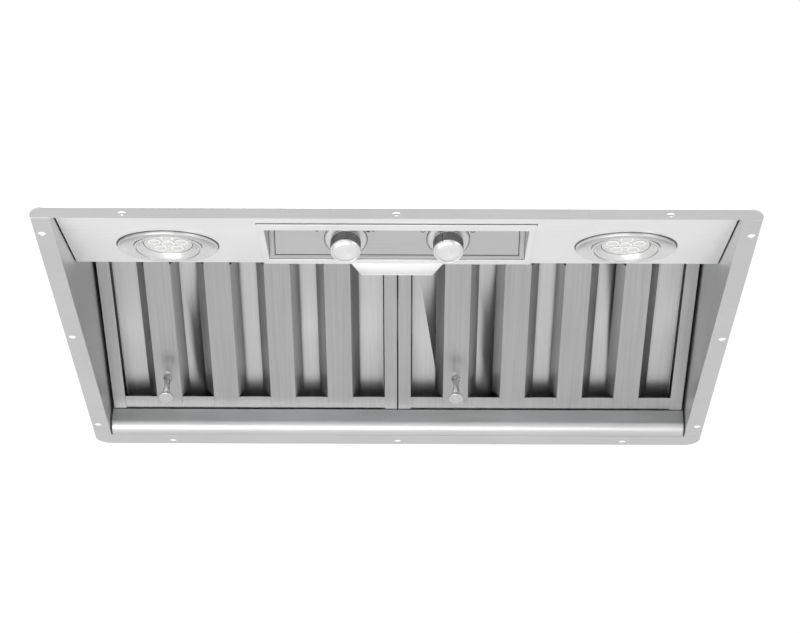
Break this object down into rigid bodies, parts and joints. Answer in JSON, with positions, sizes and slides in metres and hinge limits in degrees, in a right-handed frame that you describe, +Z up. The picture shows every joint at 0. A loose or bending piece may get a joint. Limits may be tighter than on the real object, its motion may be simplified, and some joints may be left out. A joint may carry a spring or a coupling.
{
  "type": "built-in range hood insert",
  "caption": "Stainless liner hood with a screw flange, sloping light and control panel, recessed knobs, tilting lamps, baffle filters, grease trough, blower and duct collar.",
  "frame": {"origin": "centre of the underside of the mounting flange, which is the lowest plane", "axes": "+X to the right seen from the cook's side, +Y to the rear, +Z up towards the duct"},
  "size_m": [0.72, 0.59, 0.252],
  "materials": {
    "satin_stainless": "satin stainless sheet",
    "brushed_stainless": "fine brushed stainless, grain along the width",
    "bright_stainless": "bright rolled stainless baffles",
    "turned_aluminium": "turned and spun face, knurled side",
    "polished_steel": "polished",
    "lamp_trim_steel": "satin",
    "lamp_lens": "lamp body with moulded lens cells",
    "galvanised_steel": "zinc coated sheet",
    "black_nylon": "moulded",
    "lamp_ceramic": "unglazed",
    "motor_enamel": "black enamel",
    "fan_wheel": "dark coated sheet"
  },
  "bodies": {
    "shell": {"blower_motor": "motor_enamel", "cable_gland": "black_nylon", "control_bezel": "brushed_stainless", "control_plate": "satin_stainless", "control_recess": "satin_stainless", "damper_pin": "polished_steel", "duct_collar": "galvanised_steel", "filter_front_rail": "galvanised_steel", "front_wall": "satin_stainless", "grease_trough": "satin_stainless", "inlet_rings": "galvanised_steel", "junction_box": "galvanised_steel", "junction_box_cover": "galvanised_steel", "left_light_trim": "lamp_trim_steel", "left_wall": "satin_stainless", "light_box_wall": "galvanised_steel", "light_dimmer": "black_nylon", "light_knob_ring": "satin_stainless", "light_panel": "brushed_stainless", "light_spring_clips": "polished_steel", "motor_bracket": "galvanised_steel", "outlet_flange": "galvanised_steel", "panel_screws": "polished_steel", "rear_wall": "satin_stainless", "right_light_trim": "lamp_trim_steel", "right_wall": "satin_stainless", "scroll_sides": "galvanised_steel", "scroll_wrap": "galvanised_steel", "shell_screws": "polished_steel", "speed_knob_ring": "satin_stainless", "speed_switch": "black_nylon", "spindle_nuts": "polished_steel", "top_cover": "galvanised_steel", "trough_end_caps": "satin_stainless"},
    "speed_control": {"speed_knob": "turned_aluminium", "speed_spindle": "polished_steel"},
    "light_control": {"light_knob": "turned_aluminium", "light_spindle": "polished_steel"},
    "left_lamp": {"left_lamp_ring": "lamp_trim_steel", "left_led_lamp": "lamp_lens", "left_lamp_holder": "lamp_ceramic"},
    "right_lamp": {"right_lamp_ring": "lamp_trim_steel", "right_led_lamp": "lamp_lens", "right_lamp_holder": "lamp_ceramic"},
    "left_filter": {"left_filter_frame": "bright_stainless", "left_filter_lower_baffles": "bright_stainless", "left_filter_upper_baffles": "bright_stainless", "left_filter_rivets": "bright_stainless", "left_pull_knob": "polished_steel", "left_knob_screw": "polished_steel"},
    "right_filter": {"right_filter_frame": "bright_stainless", "right_filter_lower_baffles": "bright_stainless", "right_filter_upper_baffles": "bright_stainless", "right_filter_rivets": "bright_stainless", "right_pull_knob": "polished_steel", "right_knob_screw": "polished_steel"},
    "fan": {"blower_wheel": "fan_wheel", "motor_shaft": "polished_steel"},
    "front_damper": {"front_damper_flap": "galvanised_steel"},
    "rear_damper": {"rear_damper_flap": "galvanised_steel"}
  },
  "joints": [
    {"name": "speed_knob_turn", "type": "hinge", "parent": "shell", "child": "speed_control", "pos_m": [-0.0535, -0.13373, 0.05173], "axis": [0, -0.3584, -0.9336], "range_deg": [0, 150]},
    {"name": "light_knob_turn", "type": "hinge", "parent": "shell", "child": "light_control", "pos_m": [0.0535, -0.13373, 0.05173], "axis": [0, -0.3584, -0.9336], "range_deg": [0, 270]},
    {"name": "left_lamp_tilt", "type": "hinge", "parent": "shell", "child": "left_lamp", "pos_m": [-0.2365, -0.15415, 0.02984], "axis": [1, 0, 0], "range_deg": [-14, 14]},
    {"name": "right_lamp_tilt", "type": "hinge", "parent": "shell", "child": "right_lamp", "pos_m": [0.2365, -0.15415, 0.02984], "axis": [1, 0, 0], "range_deg": [-14, 14]},
    {"name": "left_filter_slide", "type": "slide", "parent": "shell", "child": "left_filter", "axis": [0, -0.9472, 0.3206], "range_m": [0, 0.024]},
    {"name": "right_filter_slide", "type": "slide", "parent": "shell", "child": "right_filter", "axis": [0, -0.9472, 0.3206], "range_m": [0, 0.024]},
    {"name": "fan_spin", "type": "hinge", "parent": "shell", "child": "fan", "pos_m": [0, 0.183, 0.152], "axis": [1, 0, 0], "continuous": true},
    {"name": "front_damper_swing", "type": "hinge", "parent": "shell", "child": "front_damper", "pos_m": [0, 0.2195, 0.2301], "axis": [-1, 0, 0], "range_deg": [0, 80]},
    {"name": "rear_damper_swing", "type": "hinge", "parent": "shell", "child": "rear_damper", "pos_m": [0, 0.2195, 0.2301], "axis": [1, 0, 0], "range_deg": [0, 80]}
  ]
}
